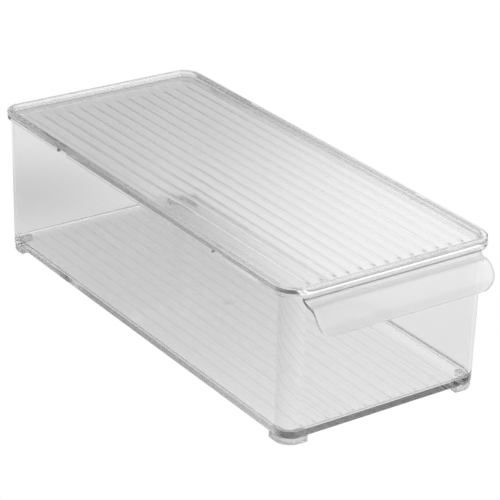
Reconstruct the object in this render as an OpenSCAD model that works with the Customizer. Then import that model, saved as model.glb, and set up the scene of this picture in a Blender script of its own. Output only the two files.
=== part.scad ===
// Clear fridge bin: a long moulded tub with a scoop handle, a lift-off lid and four corner feet.
// Millimetres. +Z is up, the handle faces -Y and the length runs along Y.
// The origin is the middle of the whole bin's footprint, on the surface that it stands on.

/* [Overall] */
// Width of the lid, the widest piece
lid_w = 186; // [150:1:230]
// Length of the lid, without its front lip and the handle
lid_l = 410; // [340:1:460]
// Height from the surface to the top of the lid
total_h = 125; // [95:1:160]
// Plan radius of the lid's corners
lid_r = 17.5; // [15:0.5:20]

/* [Tub] */
// Thickness of the side walls
wall = 2.5; // [2:0.1:3]
// Thickness of the floor
floor_t = 4; // [2.5:0.1:4.5]
// How far the lid's edge stands out past the tub's wall
overhang = 3.3; // [3:0.1:4]
// How much each wall leans in from rim to floor
draft = 0.9; // [0.4:0.1:1.6]
// Radius where the inside of the walls meets the floor
floor_fillet = 4; // [3:0.5:5]
// Radius of the outer bottom edge
edge_r = 1.5; // [1:0.25:2]
// Thickness of the rim flange
rim_t = 3.4; // [3:0.1:4]
// Number of ribs along the floor
floor_ribs = 13; // [9:2:13]
// Length of each notch in the long sides of the rim flange
notch_l = 12; // [8:1:16]
// Half of the distance between the two notches of a side
notch_y = 110; // [90:1:120]

/* [Handle] */
// Distance of the handle's ends from the sides of the lid
handle_side = 14; // [13:0.5:24]
// How far the handle stands out from the front wall
handle_out = 21.5; // [19:0.5:26]
// How far the handle's lower edge hangs below the lid's seat
handle_drop = 28; // [26:0.5:32]
// Thickness of the handle
handle_t = 2.5; // [2:0.1:3]
// Radius of the handle's lower corners
handle_r = 13; // [8:0.5:16]

/* [Lid] */
// Height of the lid's edge above the tub's rim
lid_edge_h = 3.5; // [3:0.1:4.5]
// Width of the raised border of the lid
ridge_w = 5; // [4.5:0.1:6]
// Depth of the panel below the raised border
recess = 2.2; // [1.5:0.1:2.4]
// Thickness of the panel
panel_t = 2; // [1.8:0.1:2.4]
// Depth of the locating skirt below the tub's rim
skirt_h = 6; // [4:0.5:8]
// Thickness of the locating skirt
skirt_t = 1.8; // [1.5:0.1:2]
// Number of ribs along the panel
lid_ribs = 15; // [9:2:15]
// Distance of the front lip's ends from the sides of the lid
lip_side = 8.5; // [7:0.5:10]
// How far the front lip stands out past the lid's edge
lip_out = 3.5; // [3:0.25:4]
// Plan radius of the front lip's ends
lip_end_r = 11; // [9:0.5:13]

/* [Feet] */
// Height of the feet
foot_h = 5.5; // [4:0.5:8]
// Width of the feet
foot_w = 7; // [6:0.5:8]
// Length of each foot past the corner's round
foot_arm = 7; // [4:0.5:9]

/* [Hidden] */
$fn = 64;

// Gap between the lid and the tub where they slide past each other
clearance = 0.4;
// Gap under the lid's front lip, and how its lower edge rounds up at its ends
lip_gap = 0.4;
lip_drop_r = 6;
// How far the lip reaches back into the lid's edge
lip_back = 3;
// Overlap that joins two solids of one moulding
weld = 0.01;
// Radius of the hollow between the front wall and the handle
root_r = 7;
// Points along a quarter round
round_steps = 6;
// Points along the handle's sweep
sweep_steps = 14;

// Every corner of the bin turns about one of four upright lines, at these distances from the middle
turn_x = lid_w / 2 - lid_r;
turn_y = lid_l / 2 - lid_r;
handle_w = lid_w - 2 * handle_side;
lip_w = lid_w - 2 * lip_side;
// Radii of the pieces about those lines
tub_top_r = lid_r - overhang;
tub_low_r = tub_top_r - draft;
rim_r = lid_r - 0.3;
skirt_r = tub_top_r - wall - clearance;
ridge_in_r = lid_r - ridge_w;
// Heights
seat_z = total_h - lid_edge_h;
rim_z = seat_z - rim_t;
floor_z = foot_h + floor_t;
panel_z = total_h - recess;
// The front wall's outer face at the rim, and the shift that centres the whole footprint
front_wall_y = -(turn_y + tub_top_r);
middle_y = (handle_out - overhang) / 2;

// Ribs of the floor and of the lid's panel
rib_pitch = 0.0616 * lid_w;
floor_rib_w = 3;
floor_rib_h = 0.7;
floor_rib_y = turn_y + tub_low_r - wall - floor_fillet - 1;
lid_rib_w = 2.6;
lid_rib_h = 0.6;
lid_rib_gap = 5.5;
// The smooth strip at the back of the lid's panel
back_strip = 18;
// Middle of each pair of notches, a little forward of the middle of the tub
notch_mid = -5.5;
// Small snap bumps on the skirt
snap_l = 10;
snap_d = 0.25;
snap_y = 0.8 * lid_l / 2;
snap_x = 0.62 * lid_w / 2;
// Round mark left by the moulding gate in the floor
gate_mark_r = 6;
gate_mark_h = 0.4;

// Points of a round of radius r about [cx, cz], from angle a to angle b
function arc(cx, cz, r, a, b, n = round_steps) =
    [for (i = [0:n]) [cx + r * cos(a + (b - a) * i / n), cz + r * sin(a + (b - a) * i / n)]];

// Point of a cubic curve through four control points
function curve(p, t) =
    pow(1 - t, 3) * p[0] + 3 * t * pow(1 - t, 2) * p[1] + 3 * t * t * (1 - t) * p[2] + pow(t, 3) * p[3];

// Direction of that curve
function slope(p, t) =
    3 * pow(1 - t, 2) * (p[1] - p[0]) + 6 * t * (1 - t) * (p[2] - p[1]) + 3 * t * t * (p[3] - p[2]);

// The curve moved sideways by d, to its right-hand side
function beside(p, t, d) = curve(p, t) + d * [slope(p, t)[1], -slope(p, t)[0]] / norm(slope(p, t));

// A section drawn as [distance from the turning line, height], carried round the four sides
module round_frame() {
    for (side = [0, 1]) {
        mirror([side, 0, 0])
            translate([turn_x, 0, 0])
                rotate([90, 0, 0])
                    linear_extrude(2 * turn_y, center = true) children();
        mirror([0, side, 0])
            translate([0, turn_y, 0])
                rotate([90, 0, 90])
                    linear_extrude(2 * turn_x, center = true) children();
    }
    for (sx = [0, 1], sy = [0, 1])
        mirror([sx, 0, 0])
            mirror([0, sy, 0])
                translate([turn_x, turn_y, 0])
                    rotate_extrude(angle = 90) children();
}

// The flat plate between the four turning lines
module middle_plate(z, t) {
    translate([-turn_x - weld, -turn_y - weld, z])
        cube([2 * turn_x + 2 * weld, 2 * turn_y + 2 * weld, t]);
}

// Low ribs along Y, side by side, standing on height z
module ribs(count, w, h, y_low, y_high, z) {
    for (i = [0:count - 1])
        translate([(i - (count - 1) / 2) * rib_pitch, y_high, z])
            rotate([90, 0, 0])
                linear_extrude(y_high - y_low)
                    polygon([[-w / 2, -weld], [w / 2, -weld], [w / 4, h], [-w / 4, h]]);
}

// Half of the floor, the wall and the rim flange in one section
module tub_section() {
    polygon(concat(
        [[0, foot_h]],
        arc(tub_low_r - edge_r, foot_h + edge_r, edge_r, -90, 0),
        [[tub_top_r, rim_z]],
        arc(rim_r - 0.6, rim_z + 0.6, 0.6, -90, 0, 3),
        arc(rim_r - 0.6, seat_z - 0.6, 0.6, 0, 90, 3),
        [[tub_top_r - wall, seat_z]],
        arc(tub_low_r - wall - floor_fillet, floor_z + floor_fillet, floor_fillet, 0, -90),
        [[0, floor_z]]
    ));
}

// Side view of the handle as [distance out from the front wall, height]
module handle_section() {
    low = seat_z - handle_drop;
    top = low + handle_drop - 7.8;
    tip = low + handle_t / 2;
    sweep = [[root_r, top], [2 * root_r, top], [handle_out - 0.5, top - 7.5], [handle_out, tip]];
    root_turn = 180 + asin((top + root_r - rim_z) / root_r);
    polygon(concat(
        [[0.3 - wall, rim_z]],
        arc(root_r, top + root_r, root_r, root_turn, 270),
        [for (i = [1:sweep_steps]) curve(sweep, i / sweep_steps)],
        arc(handle_out - handle_t / 2, tip, handle_t / 2, 0, -180),
        [for (i = [sweep_steps - 1:-1:0]) beside(sweep, i / sweep_steps, handle_t)],
        arc(root_r, top + root_r, root_r + handle_t, 270, 225),
        [[0.3 - wall, top - 1]]
    ));
}

// A plate of width w and height h, standing on height 0, with its two lower corners rounded
module low_rounded(w, h, r) {
    translate([-w / 2, r]) square([w, h - r]);
    translate([-w / 2 + r, 0]) square([w - 2 * r, h]);
    for (s = [-1, 1])
        translate([s * (w / 2 - r), r]) circle(r);
}

module handle() {
    intersection() {
        translate([0, front_wall_y, 0])
            rotate([90, 0, -90])
                linear_extrude(handle_w, center = true) handle_section();
        translate([0, front_wall_y + wall, seat_z - handle_drop])
            rotate([90, 0, 0])
                linear_extrude(2 * handle_out) low_rounded(handle_w, handle_drop, handle_r);
    }
}

module tub() {
    color("gainsboro")
        translate([0, middle_y, 0])
            difference() {
                union() {
                    round_frame() tub_section();
                    middle_plate(foot_h, floor_t);
                    ribs(floor_ribs, floor_rib_w, floor_rib_h, -floor_rib_y, floor_rib_y, floor_z);
                    handle();
                }
                // notches in the rim flange
                for (sx = [-1, 1], sy = [-1, 1])
                    translate([sx * (turn_x + rim_r), notch_mid + sy * notch_y, rim_z + 0.4])
                        cube([2 * (rim_r - tub_top_r) - 0.8, notch_l, 2 * rim_t], center = true);
                // gate mark
                translate([0, 0, foot_h - weld]) cylinder(r = gate_mark_r, h = gate_mark_h + weld);
            }
}

// The lid's edge: raised border, flange, locating skirt and the start of the panel
module lid_section() {
    polygon(concat(
        [[0, panel_z - panel_t], [skirt_r - skirt_t, panel_z - panel_t]],
        [[skirt_r - skirt_t, seat_z - skirt_h], [skirt_r - 0.4, seat_z - skirt_h]],
        [[skirt_r, seat_z - skirt_h + 0.8], [skirt_r, seat_z]],
        [[lid_r - 0.5, seat_z], [lid_r, seat_z + 0.5]],
        arc(lid_r - 1.6, total_h - 1.6, 1.6, 0, 90),
        arc(ridge_in_r + 1, total_h - 1, 1, 90, 170, 4),
        [[ridge_in_r - 0.3, panel_z], [0, panel_z]]
    ));
}

// Side view of the front lip as [distance out from the lid's edge, height]
module lip_section() {
    r = 3;
    t = 2.6;
    low = rim_z + lip_gap;
    polygon(concat(
        [[-lip_back, seat_z], [lip_out - t, seat_z], [lip_out - t, low]],
        arc(lip_out - 0.8, low + 0.8, 0.8, -90, 0, 3),
        arc(lip_out - r, total_h - 0.3 - r, r, 0, 90),
        [[-lip_back, total_h - 0.3]]
    ));
}

// The front lip, rounded at its ends in plan and from the front
module lip() {
    low = rim_z + lip_gap;
    intersection() {
        rotate([90, 0, -90])
            linear_extrude(lip_w, center = true) lip_section();
        translate([0, -lip_out, rim_z])
            linear_extrude(total_h - rim_z) low_rounded(lip_w, 2 * lip_end_r, lip_end_r);
        translate([0, lip_out, low])
            rotate([90, 0, 0])
                linear_extrude(4 * lip_out) low_rounded(lip_w, total_h - low + lip_drop_r, lip_drop_r);
    }
}

module lid() {
    color("whitesmoke")
        translate([0, middle_y, 0])
            union() {
                round_frame() lid_section();
                middle_plate(panel_z - panel_t, panel_t);
                ribs(lid_ribs, lid_rib_w, lid_rib_h, -turn_y - ridge_in_r + lid_rib_gap,
                     turn_y + ridge_in_r - back_strip, panel_z);
                translate([0, -lid_l / 2, 0]) lip();
                // snap bumps on the long sides and the back
                for (sx = [-1, 1], sy = [-1, 1])
                    translate([sx * (turn_x + skirt_r - 1), sy * snap_y, seat_z - skirt_h + 2])
                        rotate([90, 0, 0]) cylinder(r = 1 + snap_d, h = snap_l, center = true);
                for (sx = [-1, 1])
                    translate([sx * snap_x, turn_y + skirt_r - 1, seat_z - skirt_h + 2])
                        rotate([0, 90, 0]) cylinder(r = 1 + snap_d, h = snap_l, center = true);
            }
}

// Section of a foot as [distance from the turning line, height], with a soft lower edge
module foot_section() {
    out = tub_low_r - 0.4;
    soft = 1.2;
    polygon(concat(
        [[out - foot_w, foot_h]],
        arc(out - foot_w + soft, soft, soft, 180, 270, 4),
        arc(out - soft, soft, soft, 270, 360, 4),
        [[out, foot_h]]
    ));
}

// One corner pad: a quarter round with a short straight arm at each end
module foot(sx, sy) {
    color("white")
        translate([0, middle_y, 0])
            mirror([sx < 0 ? 1 : 0, 0, 0])
                mirror([0, sy < 0 ? 1 : 0, 0])
                    translate([turn_x, turn_y, 0]) {
                        rotate_extrude(angle = 90) foot_section();
                        rotate([90, 0, 0]) linear_extrude(foot_arm) foot_section();
                        rotate([90, 0, -90])
                            mirror([1, 0, 0])
                                linear_extrude(foot_arm) foot_section();
                    }
}

module foot_front_left() {
    foot(-1, -1);
}

module foot_front_right() {
    foot(1, -1);
}

module foot_back_left() {
    foot(-1, 1);
}

module foot_back_right() {
    foot(1, 1);
}

tub();
lid();
foot_front_left();
foot_front_right();
foot_back_left();
foot_back_right();
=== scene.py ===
import math

import bmesh
import bpy
import numpy as np
from mathutils import Matrix, Vector


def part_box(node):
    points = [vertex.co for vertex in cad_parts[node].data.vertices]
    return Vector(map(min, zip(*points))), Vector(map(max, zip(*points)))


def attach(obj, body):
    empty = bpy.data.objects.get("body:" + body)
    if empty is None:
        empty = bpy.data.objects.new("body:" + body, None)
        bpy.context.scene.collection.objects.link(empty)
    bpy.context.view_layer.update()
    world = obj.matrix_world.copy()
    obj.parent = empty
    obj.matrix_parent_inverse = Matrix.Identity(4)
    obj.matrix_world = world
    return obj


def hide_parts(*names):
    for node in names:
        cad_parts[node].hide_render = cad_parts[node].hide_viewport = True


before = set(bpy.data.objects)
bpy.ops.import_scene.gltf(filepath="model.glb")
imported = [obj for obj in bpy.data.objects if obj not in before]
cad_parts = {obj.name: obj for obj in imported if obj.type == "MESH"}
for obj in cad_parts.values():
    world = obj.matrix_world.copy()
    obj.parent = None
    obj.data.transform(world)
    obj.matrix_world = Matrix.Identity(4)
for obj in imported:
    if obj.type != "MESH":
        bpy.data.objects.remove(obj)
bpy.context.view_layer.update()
scene = bpy.context.scene
scene.view_settings.view_transform = "Standard"
# light runs a long way along inside clear plastic before it finds a way out
bounces = 128
scene.cycles.max_bounces = bounces
scene.cycles.glossy_bounces = bounces
scene.cycles.transmission_bounces = bounces

MM = 0.001
lid_low, lid_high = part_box("lid")
tub_low, tub_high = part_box("tub")

# The bin's sizes in mm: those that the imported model's boxes give, and the maker's own for the rest.
# Every outline round the bin is a rectangle, the turning rectangle, with some radius added all round.
lid_w = (lid_high.x - lid_low.x) / MM
lid_half_length = 205.0
lid_top = lid_high.z / MM
lid_r = 17.5
turn_x = lid_w / 2 - lid_r
turn_y = lid_half_length - lid_r
middle_y = lid_high.y / MM - lid_half_length
foot_h = tub_low.z / MM
seat = tub_high.z / MM
rim_thick = 3.4
rim_under = seat - rim_thick
floor_thick = 4.0
floor_top = foot_h + floor_thick
wall = 2.5
tub_r_top = 14.2
tub_r_low = 13.3
rim_r = 17.2
skirt_r = 11.3
ridge_r = 12.5
panel_thick = 2.0
panel = lid_top - 2.2
front_wall = middle_y - turn_y - tub_r_top
seam = 0.12

# Ribs: their number, half width, height, and the stretch of y, from the bin's middle, that they run over.
# A rib rises over rib_flank of its half width, and over rib_ramp at its ends.
rib_pitch = 0.0616 * lid_w
rib_flank = 0.85
rib_ramp = 0.5
floor_ribs_end = turn_y + tub_r_low - wall - 5.0
floor_ribs = {"count": 13, "half": 2.0, "tall": 0.16, "y_low": -floor_ribs_end, "y_high": floor_ribs_end}
lid_ribs = {"count": 15, "half": 2.0, "tall": 0.14,
            "y_low": -turn_y - ridge_r + 5.5, "y_high": turn_y + ridge_r - 18.0}

# Notches in the rim flange's long sides: their middles, half length, and the short slope at either end
notch_mid = -5.5
notch_apart = 110.0
notch_half = 6.0
notch_slope = 0.4

# Points nearer than this are sewn, edges shorter than this are dropped (both in metres), and an edge
# sharper than this is shaded as sharp (in degrees)
sewn = 2e-6
dropped = 1e-7
sharp = 50


# ---- shapes -------------------------------------------------------------------------------------

def rounded(corners, radii, steps, hold):
    """A polyline with its corners eased: at each corner a parabola from r before it to r after it, and a
    held point a little further out on either side, so that the flats next to it stay flat. Every corner
    gives steps + 3 points."""
    corners = np.array(corners, float)
    radii = np.array(radii, float)
    before = np.vstack([corners[:1], corners[:-1]]) - corners
    after = np.vstack([corners[1:], corners[-1:]]) - corners
    before /= np.maximum(np.linalg.norm(before, axis=1), 1e-9)[:, None]
    after /= np.maximum(np.linalg.norm(after, axis=1), 1e-9)[:, None]
    reach = np.concatenate([[hold], np.zeros(steps + 1), [hold]])
    t = np.concatenate([[0.0], np.linspace(0, 1, steps + 1), [1.0]])
    r = radii[:, None, None]
    extra = (reach[None, :] * (radii > 0)[:, None])[:, :, None]
    side = np.where(t < 0.5, 1.0, 0.0)[None, :, None]
    start = corners[:, None] + before[:, None] * r
    end = corners[:, None] + after[:, None] * r
    s = t[None, :, None]
    line = (1 - s) ** 2 * start + 2 * s * (1 - s) * corners[:, None] + s ** 2 * end
    line = line + extra * (side * before[:, None] + (1 - side) * after[:, None])
    return line.reshape(-1, 2)


def spread(low, high, *marks):
    """Sorted places from low to high with the marks among them, rounded to a thousandth of a mm."""
    places = np.unique(np.round(np.concatenate([[low, high], *marks]), 3))
    return places[(places >= low) & (places <= high)]


def rib_places(ribs):
    """Where the ribs' cross-section is sampled: twelve places over each rib."""
    middles = (np.arange(ribs["count"]) - (ribs["count"] - 1) / 2) * rib_pitch
    one_side = np.array([0.15, 0.32, 0.49, 0.66, 0.83, 1.0])
    offsets = np.concatenate([-one_side[::-1], one_side]) * ribs["half"]
    return (middles[:, None] + offsets[None, :]).ravel()


def rib_height(x, y, count, half, tall, y_low, y_high):
    """Height of low ribs side by side: a smooth step from 0 at half a rib's width from its middle to its
    full height near the middle, times a short steep ramp at either end."""
    nearest = np.clip(np.round(x / rib_pitch + (count - 1) / 2), 0, count - 1) - (count - 1) / 2
    away = np.abs(x - nearest * rib_pitch) / half
    s = np.clip((1 - away) / rib_flank, 0, 1)
    ends = np.clip(np.minimum(y - y_low, y_high - y) / rib_ramp, 0, 1)
    return tall * s * s * (3 - 2 * s) * ends


def round_the_bin(xs, ys, corner_steps):
    """The turning rectangle walked once round from the front left: its points, and for each the way out."""
    turn = np.linspace(0, math.pi / 2, corner_steps + 1)[1:-1]

    def side(px, py, out):
        n = max(np.size(px), np.size(py))
        return np.column_stack([np.broadcast_to(px, n), np.broadcast_to(py, n)]), np.tile(out, (n, 1))

    def corner(cx, cy, start):
        a = start + turn
        return np.tile([cx, cy], (len(a), 1)), np.column_stack([np.cos(a), np.sin(a)])

    parts = [
        side(xs, -turn_y, [0.0, -1.0]), corner(turn_x, -turn_y, -math.pi / 2),
        side(turn_x, ys, [1.0, 0.0]), corner(turn_x, turn_y, 0),
        side(xs[::-1], turn_y, [0.0, 1.0]), corner(-turn_x, turn_y, math.pi / 2),
        side(-turn_x, ys[::-1], [-1.0, 0.0]), corner(-turn_x, -turn_y, math.pi),
    ]
    return np.vstack([p[0] for p in parts]), np.vstack([p[1] for p in parts])


def quads(rows, columns, closed=False, leave_out=None):
    """Faces of a grid of rows by columns whose points are numbered along the columns first."""
    across = np.arange(columns if closed else columns - 1)
    j, i = np.meshgrid(np.arange(rows - 1), across, indexing="ij")
    if leave_out is not None:
        keep = ~leave_out[j, i]
        j, i = j[keep], i[keep]
    j, i = j.ravel(), i.ravel()
    k = (i + 1) % columns
    this, following = j * columns, (j + 1) * columns
    return np.column_stack([this + i, this + k, following + k, following + i])


def carried(r, base, out):
    """A section carried round the bin: x and y at each point of the walk, moved out by the section's r."""
    return base[None, :, 0] + r * out[None, :, 0], base[None, :, 1] + r * out[None, :, 1]


def solid(name, patches, body, node, material):
    """One closed mesh from patches of (points in mm, faces), sewn where their edges coincide."""
    points, faces, start = [], [], 0
    for p, f in patches:
        points.append(p)
        faces.append(f + start)
        start += len(p)
    points = np.vstack(points) * MM
    mesh = bpy.data.meshes.new(name)
    mesh.from_pydata(points, [], np.vstack(faces).tolist())
    bm = bmesh.new()
    bm.from_mesh(mesh)
    bmesh.ops.remove_doubles(bm, verts=bm.verts, dist=sewn)
    bmesh.ops.dissolve_degenerate(bm, edges=bm.edges, dist=dropped)
    bmesh.ops.recalc_face_normals(bm, faces=bm.faces)
    bm.to_mesh(mesh)
    bm.free()
    mesh.shade_smooth()
    mesh.set_sharp_from_angle(angle=math.radians(sharp))
    piece = bpy.data.objects.new(name, mesh)
    scene.collection.objects.link(piece)
    piece.data.materials.append(material)
    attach(piece, body)
    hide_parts(node)


def middle(xs, ys, height):
    """A flat or ribbed patch over the turning rectangle, at height(x, y)."""
    x, y = np.meshgrid(xs, ys)
    x, y = x.ravel(), y.ravel()
    return np.column_stack([x, y + middle_y, np.broadcast_to(height(x, y), x.shape)]), quads(len(ys), len(xs))


def tub_patches():
    """Floor, walls, rim and handle of the tub.
    The shell is one section carried round the bin: out under the floor, up the wall, round the rim flange,
    down the inside and back along the floor. The floor's upper side rises by the ribs' height. The rim
    flange steps in at four notches. The handle is a stadium-shaped loop carried down a side curve, from
    an opening left in the front wall to a rounded tip."""
    handle_low = seat - 28.0
    handle_thick = 2.5
    handle_out = 21.5
    handle_half = 79.0
    root_r = 7.0
    sweep_top = handle_low + 20.2
    root_z = sweep_top + root_r
    gap_low = root_z - math.sqrt((root_r + handle_thick) ** 2 - root_r ** 2)
    gap_high = rim_under - 0.2
    side_steps = 7
    gap = np.linspace(gap_low, gap_high, side_steps + 2)

    def face_r(z):
        return tub_r_low + (tub_r_top - tub_r_low) * (z - foot_h) / (rim_under - foot_h)

    ribs_end_r = floor_ribs_end - turn_y
    below_gap = gap_low - 0.4
    corners = [[0, foot_h], [tub_r_low, foot_h], [face_r(below_gap), below_gap]]
    corners += [[face_r(z), z] for z in gap]
    corners += [[tub_r_top, rim_under], [rim_r, rim_under], [rim_r, seat], [tub_r_top - wall, seat],
                [tub_r_low - wall, floor_top], [ribs_end_r, floor_top], [ribs_end_r - rib_ramp, floor_top],
                [0, floor_top]]
    radii = [0, 1.5, 0] + [0] * len(gap) + [0.12, 0.6, 0.9, 0.4, 4.0, 0, 0, 0]
    steps = 5
    section = rounded(corners, radii, steps, hold=0.06)
    # first rows of the opening's lowest and highest corner, and of the inner corner at the floor
    per = steps + 3
    row_low = 3 * per
    row_high = row_low + (side_steps + 1) * per
    inner_row = row_high + 5 * per

    # one more cross-section just inside either end keeps the corners' shading off the flats
    inset = 0.4
    slopes = np.array([-notch_half - notch_slope, -notch_half, notch_half, notch_half + notch_slope])
    notches = np.concatenate([notch_mid - notch_apart + slopes, notch_mid + notch_apart + slopes])
    xs = spread(-turn_x, turn_x, rib_places(floor_ribs), [-turn_x + inset, turn_x - inset])
    ys = spread(-turn_y, turn_y, notches, [-turn_y + inset, turn_y - inset],
                [-150, -80, -40, 0, 40, 80, 150])
    base, out = round_the_bin(xs, ys, corner_steps=14)
    r = np.repeat(section[:, :1], len(base), axis=1)
    z = np.repeat(section[:, 1:], len(base), axis=1)
    on_side = np.abs(out[:, 0]) == 1
    in_notch = on_side & (np.abs(np.abs(base[:, 1] - notch_mid) - notch_apart) <= notch_half + 0.01)
    outer = np.arange(len(section)) < inner_row
    r = np.where(in_notch[None, :] & outer[:, None], np.minimum(r, tub_r_top + 0.4), r)
    x, y = carried(r, base, out)
    z = z + np.where(outer[:, None], 0, rib_height(x, y, **floor_ribs))

    # the opening in the front wall, from which the handle grows
    columns = len(base)
    across = base[:, 0] + tub_r_top * out[:, 0]
    at = np.flatnonzero((out[:, 1] < -0.9) & (np.abs(across) < handle_half - 0.3))
    order = at[np.argsort(across[at])]
    leave_out = np.zeros((len(section), columns), bool)
    leave_out[row_low:row_high][:, order[:-1]] = True
    shell = np.column_stack([x.ravel(), y.ravel() + middle_y, z.ravel()])
    faces = quads(len(section), columns, closed=True, leave_out=leave_out)

    # handle: side curves of its upper and lower skins, as distance out from the wall and height. An arc
    # round the root's centre is followed by a Bezier curve down and out, and by the tip's half circle.
    # The arcs leave out their first points, where the opening's own edge stands.
    a = np.radians(np.linspace(205, 270, 7))[1:]
    b = np.radians(np.linspace(222.5, 270, 7))[1:]
    arc_up = np.column_stack([root_r + root_r * np.cos(a), root_z + root_r * np.sin(a)])
    arc_low = np.column_stack([root_r + (root_r + handle_thick) * np.cos(b),
                               root_z + (root_r + handle_thick) * np.sin(b)])
    half = handle_thick / 2
    tip_z = handle_low + half
    c = np.array([[root_r, sweep_top], [2 * root_r, sweep_top],
                  [handle_out - 0.5, sweep_top - 7.5], [handle_out, tip_z]])
    t = np.linspace(0, 1, 25)[1:, None]
    sweep = (1 - t) ** 3 * c[0] + 3 * t * (1 - t) ** 2 * c[1] + 3 * t * t * (1 - t) * c[2] + t ** 3 * c[3]
    way = 3 * (1 - t) ** 2 * (c[1] - c[0]) + 6 * t * (1 - t) * (c[2] - c[1]) + 3 * t * t * (c[3] - c[2])
    way /= np.linalg.norm(way, axis=1)[:, None]
    under = sweep + handle_thick * np.column_stack([way[:, 1], -way[:, 0]])
    turn = np.radians(np.linspace(0, 90, 8))[1:, None]
    tip = np.array([handle_out - half, tip_z])
    tip_up = tip + np.hstack([half * np.cos(turn), -half * np.sin(turn)])
    tip_low = tip + np.hstack([-half * np.cos(turn), -half * np.sin(turn)])
    upper = np.vstack([arc_up, sweep, tip_up])
    lower = np.vstack([arc_low, under, tip_low])
    centre, thick = (upper + lower) / 2, np.linalg.norm(upper - lower, axis=1) / 2

    # its half width at each step down, with a quarter circle at the tip's corners, and a loop at each step
    corner_r = 13
    to_corner = np.clip(handle_low + corner_r - centre[:, 1], 0, corner_r)
    width = handle_half - corner_r + np.sqrt(corner_r ** 2 - to_corner ** 2)
    u = across[order] / np.abs(across[order]).max()
    flat = (width - thick)[:, None] * u[None, :]
    round_side = np.radians(np.linspace(90, -90, side_steps + 2)[1:-1])
    edge_x = (width - thick)[:, None] + thick[:, None] * np.cos(round_side)[None, :]
    edge_v = centre[:, None] + (upper - centre)[:, None] * np.sin(round_side)[None, :, None]

    def loop(px, pv):
        return np.stack([px, pv[..., 0], pv[..., 1]], axis=2)

    wide = np.ones((1, len(u), 1))
    rings = np.concatenate([
        loop(flat, upper[:, None] * wide),
        loop(edge_x, edge_v),
        loop(flat[:, ::-1], lower[:, None] * wide),
        loop(-edge_x[:, ::-1], edge_v[:, ::-1]),
    ], axis=1)
    wall_y = -(turn_y + tub_r_top)
    rings = np.stack([rings[..., 0], wall_y - rings[..., 1] + middle_y, rings[..., 2]], axis=2)
    grid = shell.reshape(len(section), columns, 3)
    rows = row_high - per * np.arange(1, side_steps + 1)
    first = np.vstack([grid[row_high, order], grid[rows, order[-1]], grid[row_low, order[::-1]],
                       grid[rows[::-1], order[0]]])
    rings = np.concatenate([first[None], rings])
    handle = (rings.reshape(-1, 3), quads(*rings.shape[:2], closed=True))
    return [(shell, faces), handle,
            middle(xs, ys, lambda px, py: foot_h),
            middle(xs, ys, lambda px, py: floor_top + rib_height(px, py, **floor_ribs))]


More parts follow.
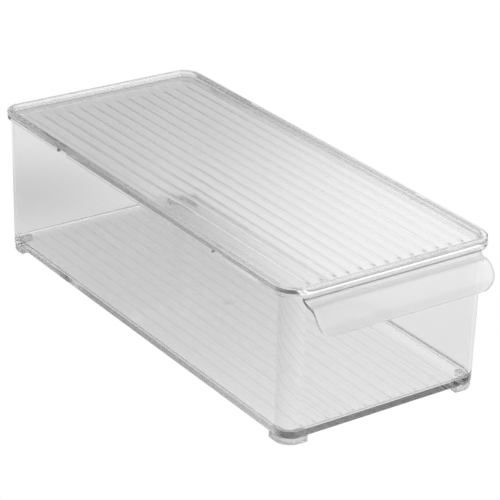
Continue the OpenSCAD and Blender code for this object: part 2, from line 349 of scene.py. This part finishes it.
def lid_patches():
    """The lid: one section carried round the bin, out under the panel, down and up the skirt, round the
    edge, over the raised border and back along the ribbed panel. At the front the edge section turns into
    the lip's, which fades out round both corners on a quarter ellipse. The skirt's snap bumps swell as a
    bell curve over its height."""
    under = seat + seam
    skirt_low = seat - 6.0
    start = [[0, panel - panel_thick], [skirt_r - 1.8, panel - panel_thick], [skirt_r - 1.8, skirt_low],
             [skirt_r, skirt_low], [skirt_r, skirt_low + 1.0], [skirt_r, skirt_low + 2.0],
             [skirt_r, skirt_low + 3.0], [skirt_r, under]]
    start_r = [0, 0.8, 0.4, 0.7, 0, 0, 0, 0.3]
    edge = [[lid_r, under], [lid_r, under + 1.0], [lid_r, under + 1.2], [lid_r, lid_top],
            [lid_r - 2.2, lid_top], [lid_r - 2.5, lid_top]]
    edge_r = [0.8, 0, 0, 1.6, 0, 0]
    lip = [[lid_r + 0.9, under], [lid_r + 0.9, rim_under + 0.4], [lid_r + 3.5, rim_under + 0.4],
           [lid_r + 3.5, lid_top - 0.3], [lid_r - 1.0, lid_top - 0.3], [lid_r - 1.4, lid_top]]
    lip_r = [0.35, 1.2, 1.2, 2.6, 0.2, 0.2]
    end = [[ridge_r, lid_top], [ridge_r - 0.3, panel], [7.0, panel], [7.0 - rib_ramp, panel], [0, panel]]
    end_r = [1.2, 0.5, 0, 0, 0]
    steps = 4
    plain = rounded(start + edge + end, start_r + edge_r + end_r, steps, hold=0.15)
    with_lip = rounded(start + lip + end, start_r + lip_r + end_r, steps, hold=0.15)

    # the snap bumps' places along the sides and the back, and the half length of each
    snap_side, snap_back, snap_half = 164.0, 57.7, 4.6
    snaps = np.concatenate([s * snap_side + np.array([-5, -4.5, 4.5, 5]) for s in (-1, 1)])
    inset = 0.4
    ribs_back = lid_ribs["y_high"]
    xs = spread(-turn_x, turn_x, rib_places(lid_ribs), [-turn_x + inset, turn_x - inset],
                np.linspace(-75, 75, 61))
    ys = spread(-turn_y, turn_y, snaps, [ribs_back, ribs_back - rib_ramp, -turn_y + inset, turn_y - inset],
                [-80, 0, 80])
    base, out = round_the_bin(xs, ys, corner_steps=20)
    lip_half, lip_fade = 73.0, 12.0
    reach_x = np.abs(base[:, 0] + lid_r * out[:, 0])
    fade = np.sqrt(np.clip(1 - np.clip((reach_x - lip_half) / lip_fade, 0, 1) ** 2, 0, 1))
    fade = np.where(base[:, 1] + lid_r * out[:, 1] < -turn_y - 4.0, fade, 0)[None, :]
    r = plain[:, :1] + fade * (with_lip[:, :1] - plain[:, :1])
    z = plain[:, 1:] + fade * (with_lip[:, 1:] - plain[:, 1:])
    snap_y = (np.abs(out[:, 0]) == 1) & (np.abs(np.abs(base[:, 1]) - snap_side) < snap_half)
    snap_x = (out[:, 1] == 1) & (np.abs(np.abs(base[:, 0]) - snap_back) < snap_half)
    bump = np.exp(-((plain[:, 1:] - skirt_low - 2.0) / 0.7) ** 2) * (np.abs(plain[:, :1] - skirt_r) < 0.05)
    r = r + 0.25 * bump * (snap_y | snap_x)[None, :]
    x, y = carried(r, base, out)
    first_flat = (len(start) + len(edge) + 1) * (steps + 3)
    upper = (np.arange(len(plain)) >= first_flat)[:, None]
    z = z + np.where(upper, rib_height(x, y, **lid_ribs), 0)
    shell = np.column_stack([x.ravel(), y.ravel() + middle_y, z.ravel()])
    return [(shell, quads(len(plain), len(base), closed=True)),
            middle(xs, ys, lambda px, py: panel - panel_thick),
            middle(xs, ys, lambda px, py: panel + rib_height(px, py, **lid_ribs))]


def foot_patches(sx, sy):
    """A soft-edged bar of rectangular section carried along a short arm, round the corner and along
    another arm, closed at both ends. It stands a little in from the wall and just clear of the floor."""
    set_back, clearance, pad_wide = 0.4, 0.05, 7.0
    far = tub_r_low - set_back
    near, mid = far - pad_wide, far - pad_wide / 2
    top = foot_h - clearance
    corners = [[mid, 0], [far, 0], [far, top], [near, top], [near, 0], [mid, 0]]
    section = rounded(corners, [0, 1.2, 0.25, 0.25, 1.2, 0], steps=4, hold=0.1)
    arm = np.array([7.0, 6.7, 3.0, 0.3])
    a = np.linspace(math.pi / 2, 0, 15)
    base = np.vstack([np.column_stack([-arm, 0 * arm]), np.zeros((len(a), 2)),
                      np.column_stack([0 * arm, -arm[::-1]])])
    out = np.vstack([np.tile([0.0, 1.0], (4, 1)), np.column_stack([np.cos(a), np.sin(a)]),
                     np.tile([1.0, 0.0], (4, 1))])
    x = sx * (turn_x + base[:, 0] + section[:, :1] * out[:, 0])
    y = sy * (turn_y + base[:, 1] + section[:, :1] * out[:, 1])
    z = np.repeat(section[:, 1:], len(base), axis=1)
    rim = np.stack([x, y + middle_y, z], axis=2)
    # each end closes on its own middle point
    ends = []
    for i in (0, -1):
        outline = rim[:, i]
        hub = np.repeat(outline.mean(0)[None], len(outline), axis=0)
        ends.append((np.vstack([outline, hub]), quads(2, len(outline))))
    return [(rim.reshape(-1, 3), quads(len(section), len(base)))] + ends


# ---- materials ----------------------------------------------------------------------------------

def linear(code):
    """An sRGB hex colour as linear red, green, blue and 1."""
    c = np.array([int(code[i:i + 2], 16) for i in (0, 2, 4)]) / 255
    return (*np.where(c <= 0.04045, c / 12.92, ((c + 0.055) / 1.055) ** 2.4), 1.0)


def add(tree, kind, links=None, **settings):
    """A node of that kind, with its settings made and its inputs linked or given values."""
    node = tree.nodes.new(kind)
    for key, value in settings.items():
        setattr(node, key, value)
    for name, value in (links or {}).items():
        if isinstance(value, bpy.types.NodeSocket):
            tree.links.new(value, node.inputs[name])
        else:
            node.inputs[name].default_value = value
    return node


def maths(tree, operation, *values):
    """The result of one sum on sockets or numbers."""
    return add(tree, "ShaderNodeMath", dict(enumerate(values)), operation=operation).outputs[0]


def ramp(tree, value, low, high, at_low, at_high, smooth=False):
    """at_low up to low, at_high from high on, and between them a straight line or a smooth step."""
    ends = {"Value": value, "From Min": low, "From Max": high, "To Min": at_low, "To Max": at_high}
    kind = "SMOOTHSTEP" if smooth else "LINEAR"
    return add(tree, "ShaderNodeMapRange", ends, interpolation_type=kind).outputs["Result"]


def distance(tree, place, point):
    """How far place is from a fixed point."""
    away = add(tree, "ShaderNodeVectorMath", {0: place, 1: tuple(point)}, operation="DISTANCE")
    return away.outputs["Value"]


def blend(tree, factor, a, b):
    """The colour a where factor is 0, b where it is 1."""
    return add(tree, "ShaderNodeMix", {"Factor": factor, "A": a, "B": b}, data_type="RGBA").outputs["Result"]


def blank_material(name):
    """A material with no nodes yet, its tree, and the place on the object that its nodes read."""
    material = bpy.data.materials.new(name)
    material.use_nodes = True
    tree = material.node_tree
    tree.nodes.clear()
    return material, tree, add(tree, "ShaderNodeTexCoord").outputs["Object"]


def rib_shade_and_matt(t, place, height, ribs):
    """1 on the backs of the ribs and 0 between and beyond them: the distance to the nearest rib, smoothly
    cut off, inside the ribs' own stretch of the panel. It places the ribs' matt backs and their painted
    shade."""
    axes = add(t, "ShaderNodeSeparateXYZ", {"Vector": place}).outputs
    pitches = maths(t, "MULTIPLY_ADD", axes["X"], 1 / (rib_pitch * MM), 0.5)
    off = maths(t, "SUBTRACT", maths(t, "FRACT", pitches), 0.5)
    back = ramp(t, maths(t, "ABSOLUTE", off), 0.06, 0.17, 1.0, 0.0, smooth=True)
    y_low, y_high = ribs["y_low"], ribs["y_high"]
    limits = (("X", 0.0, ribs["count"] * rib_pitch / 2), ("Z", height, 0.6),
              ("Y", (y_low + y_high) / 2 + middle_y, (y_high - y_low) / 2))
    for axis, centre, half in limits:
        back = maths(t, "MULTIPLY", back, maths(t, "COMPARE", axes[axis], centre * MM, half * MM))
    return back


def painted_shade_line(t, place, y_most, z_low, z_high):
    """1 at the lowest edge of whatever stands out past the front wall, fading to 0 above it: the place of a
    dark line of painted shade.
    """
    axes = add(t, "ShaderNodeSeparateXYZ", {"Vector": place}).outputs
    low = ramp(t, axes["Z"], z_low * MM, z_high * MM, 1.0, 0.0, smooth=True)
    return maths(t, "MULTIPLY", low, maths(t, "LESS_THAN", axes["Y"], y_most * MM))


def clear_polystyrene(name, wave_mm, haze, grip, height, ribs, shade_line_z):
    """Clear moulded polystyrene: polished, faintly grey through its thickness, with slow waves left by the
    mould's flow and a little haze and fine wear, so that what is behind it bends gently. The ribs' backs
    and the round gate mark in the middle of the floor are matter and greyer: the gate mark's grey is its own,
    the ribs' grey is painted shade. What stands out in front of the front wall is matter by grip, and a
    painted shade line darkens its lowest edge."""
    index, density, back_matt = 1.58, 3.6, 0.13
    gate_r, gate_fade = 5.4, 0.8
    m, t, place = blank_material(name)
    flow = add(t, "ShaderNodeTexNoise", {"Vector": place, "Scale": 1 / (wave_mm * MM), "Detail": 2.0,
                                         "Roughness": 0.45, "Distortion": 0.6})
    specks = add(t, "ShaderNodeTexNoise", {"Vector": place, "Scale": 1 / (3 * MM), "Detail": 3.0})
    wear = ramp(t, specks.outputs["Fac"], 0.45, 0.75, haze, haze * 2.5)
    axes = add(t, "ShaderNodeSeparateXYZ", {"Vector": place}).outputs
    satin = ramp(t, axes["Y"], front_wall * MM - 0.001, front_wall * MM - 0.004, 0.0, grip)
    off_gate = distance(t, place, (0.0, middle_y * MM, floor_top * MM))
    gate = ramp(t, off_gate, gate_r * MM, (gate_r + gate_fade) * MM, 1.0, 0.0)
    backs = maths(t, "MAXIMUM", rib_shade_and_matt(t, place, height, ribs), gate)
    rough = maths(t, "ADD", wear, maths(t, "MULTIPLY_ADD", backs, back_matt, satin))
    # the ribs' backs get a greyer base colour, which is painted shade; the gate mark's grey is the mark's own
    rib_shaded_tone = blend(t, backs, linear("fcfcfc"), linear("f1f1f1"))
    # a dark line of painted shade along the lowest edge of what stands out past the front wall, the lid's lip
    edged = blend(t, painted_shade_line(t, place, front_wall - 2.0, *shade_line_z), rib_shaded_tone, linear("9c9c9c"))
    slow = add(t, "ShaderNodeBump", {"Height": flow.outputs["Fac"], "Strength": 0.04, "Distance": 0.6 * MM})
    shader = add(t, "ShaderNodeBsdfPrincipled", {
        "Base Color": edged, "Roughness": rough, "IOR": index,
        "Transmission Weight": 1.0, "Normal": slow.outputs["Normal"]})
    grey = add(t, "ShaderNodeVolumeAbsorption", {"Color": linear("c8c8c8"), "Density": density})
    add(t, "ShaderNodeOutputMaterial", {"Surface": shader.outputs["BSDF"], "Volume": grey.outputs["Volume"]})
    return m


def milky_elastomer():
    """Soft thermoplastic elastomer pads: translucent milky white with a fine matt skin."""
    index, clarity = 1.5, 0.65
    m, t, place = blank_material("milky elastomer, moulded matt")
    grain = add(t, "ShaderNodeTexNoise", {"Vector": place, "Scale": 1 / (0.8 * MM), "Detail": 4.0})
    clouds = add(t, "ShaderNodeTexNoise", {"Vector": place, "Scale": 1 / (6 * MM), "Detail": 2.0})
    skin = add(t, "ShaderNodeBump", {"Height": grain.outputs["Fac"], "Strength": 0.3, "Distance": 0.1 * MM})
    shader = add(t, "ShaderNodeBsdfPrincipled", {
        "Base Color": blend(t, clouds.outputs["Fac"], linear("f6f6f6"), linear("fcfcfc")),
        "Roughness": ramp(t, clouds.outputs["Fac"], 0.0, 1.0, 0.3, 0.45), "IOR": index,
        "Transmission Weight": clarity, "Normal": skin.outputs["Normal"]})
    add(t, "ShaderNodeOutputMaterial", {"Surface": shader.outputs["BSDF"]})
    return m


tub_plastic = clear_polystyrene("clear polystyrene tub, polished", wave_mm=45, haze=0.015, grip=0.15,
                                height=floor_top, ribs=floor_ribs, shade_line_z=(0.0, 1.0))
lid_plastic = clear_polystyrene("clear polystyrene lid, polished", wave_mm=60, haze=0.03, grip=0.0,
                                height=panel, ribs=lid_ribs, shade_line_z=(rim_under + 0.7, rim_under + 2.0))
foot_rubber = milky_elastomer()

solid("tub_shell", tub_patches(), "tub", "tub", tub_plastic)
solid("lid_plate", lid_patches(), "lid", "lid", lid_plastic)
for where, sx, sy in (("front_left", -1, -1), ("front_right", 1, -1),
                      ("back_left", -1, 1), ("back_right", 1, 1)):
    solid("pad_" + where, foot_patches(sx, sy), "tub", "foot_" + where, foot_rubber)


# ---- stage, light and camera ---------------------------------------------------------------------

white = (1, 1, 1, 1)


def seen_straight(tree, lit, plain):
    """The plain white where the backdrop is seen straight on, and the lit paper wherever it is seen through
    or in the plastic."""
    straight = add(tree, "ShaderNodeLightPath").outputs["Is Camera Ray"]
    return add(tree, "ShaderNodeMixShader", {0: straight, 1: lit.outputs[0], 2: plain.outputs[0]}).outputs[0]


def stage_piece(name, corners, material):
    """One flat four-cornered piece of the stage."""
    mesh = bpy.data.meshes.new(name)
    mesh.from_pydata(corners, [], [(0, 1, 2, 3)])
    mesh.materials.append(material)
    piece = bpy.data.objects.new(name, mesh)
    scene.collection.objects.link(piece)
    return piece


def stage_floor():
    """A wide flat pale floor just under the feet. Its glow rises from the left to the right and a little
    towards the front, with two round dips in it."""
    m, t, on_floor = blank_material("white paper sweep")
    place = add(t, "ShaderNodeSeparateXYZ", {"Vector": on_floor}).outputs
    from_left = ramp(t, place["X"], -0.24, -0.07, 0.46, 0.64, smooth=True)
    to_front = ramp(t, place["Y"], 0.0, -0.35, 0.0, 0.04, smooth=True)
    glow = maths(t, "ADD", from_left, to_front)
    for x, y, reach, depth in ((0.16, -0.15, 0.17, -0.06), (-0.03, 0.31, 0.14, -0.25)):
        away = distance(t, on_floor, (x, y, 0.0))
        glow = maths(t, "ADD", glow, ramp(t, away, 0.0, reach, depth, 0.0, smooth=True))
    lit = add(t, "ShaderNodeEmission", {"Color": white, "Strength": glow})
    dull = add(t, "ShaderNodeBsdfDiffuse", {"Color": linear("8c8c8c")})
    paper = add(t, "ShaderNodeAddShader", {0: lit.outputs[0], 1: dull.outputs[0]})
    blank = add(t, "ShaderNodeEmission", {"Color": white, "Strength": 1.0})
    add(t, "ShaderNodeOutputMaterial", {"Surface": seen_straight(t, paper, blank)})
    s, low = 6.0, -2e-4
    stage_piece("studio_floor", [(-s, -s, low), (s, -s, low), (s, s, low), (-s, s, low)], m)


def reflector(centre, facing, size, low, high, brightest):
    """A big graded white card, dark on one side, bright on the other and thinning out to nothing round its
    edges, which shows only in the gloss."""
    u = Vector((0, 0, 1)).cross(facing).normalized()
    v = facing.cross(u).normalized()
    h = size / 2
    slant = u * 0.7 + v * 0.7
    start = centre.dot(slant)
    m, t, place = blank_material("graded white card")
    along = add(t, "ShaderNodeVectorMath", {0: place, 1: tuple(slant)}, operation="DOT_PRODUCT")
    grade = ramp(t, along.outputs["Value"], start + low, start + high, 0.05, brightest, smooth=True)
    glow = add(t, "ShaderNodeEmission", {"Color": white, "Strength": grade})
    thin = ramp(t, distance(t, place, centre), h * 0.36, h * 0.98, 0.0, 1.0, smooth=True)
    clear = add(t, "ShaderNodeBsdfTransparent")
    soft = add(t, "ShaderNodeMixShader", {0: thin, 1: glow.outputs[0], 2: clear.outputs[0]})
    add(t, "ShaderNodeOutputMaterial", {"Surface": soft.outputs[0]})
    corners = [centre - u * h - v * h, centre + u * h - v * h, centre + u * h + v * h, centre - u * h + v * h]
    card = stage_piece("graded_card", [tuple(c) for c in corners], m)
    card.visible_camera = False
    card.visible_shadow = False


def soft_light(name, place, aim, size, power):
    """A square soft box at place, facing aim."""
    light = bpy.data.lights.new(name, "AREA")
    light.shape = "SQUARE"
    light.size = size
    light.energy = power
    lamp = bpy.data.objects.new(name, light)
    lamp.location = place
    lamp.rotation_euler = (Vector(place) - Vector(aim)).to_track_quat("Z", "Y").to_euler()
    lamp.visible_camera = False
    scene.collection.objects.link(lamp)


def pale_room():
    """An even pale world."""
    world = bpy.data.worlds.new("pale room")
    world.use_nodes = True
    sky = world.node_tree
    sky.nodes.clear()
    room = add(sky, "ShaderNodeBackground", {"Color": white, "Strength": 0.62})
    blank = add(sky, "ShaderNodeBackground", {"Color": white, "Strength": 1.0})
    add(sky, "ShaderNodeOutputWorld", {"Surface": seen_straight(sky, room, blank)})
    scene.world = world


stage_floor()
pale_room()
soft_light("key", place=(0.9, -0.8, 0.95), aim=(0.1, -0.1, 0.0), size=2.2, power=13.0)
# the card stands off behind the bin, to its right and above, and faces the middle of its lid
bin_middle = Vector((0, middle_y * MM, 0))
to_card = Vector((0.523, 0.741, 0.421))
reflector(bin_middle + Vector((0.0, 0.0, 0.125)) + to_card * 1.2, facing=-to_card, size=1.6,
          low=-0.204, high=0.181, brightest=1.25)

# The camera looks along -back from the bin's left front, turned a little about that line, and stands off
# the bin's middle by a long way back and a little to the right and up
az, el, roll = math.radians(-35.247), math.radians(24.886), math.radians(1.761)
stand_off, stand_right, stand_up = 1.749, 0.014613, 0.049909
back = Vector((math.sin(az) * math.cos(el), -math.cos(az) * math.cos(el), math.sin(el)))
level = (-back).cross(Vector((0, 0, 1))).normalized()
rise = level.cross(-back)
right = math.cos(roll) * level + math.sin(roll) * rise
up = -math.sin(roll) * level + math.cos(roll) * rise
eye = back * stand_off + level * stand_right + rise * stand_up + bin_middle
lens = bpy.data.cameras.new("camera")
lens.sensor_width = 36.0
lens.lens = 158.1
lens.clip_end = 50.0
camera = bpy.data.objects.new("camera", lens)
turned = Matrix((right, up, back)).transposed().to_4x4()
camera.matrix_world = Matrix.Translation(eye) @ turned
scene.collection.objects.link(camera)
scene.camera = camera
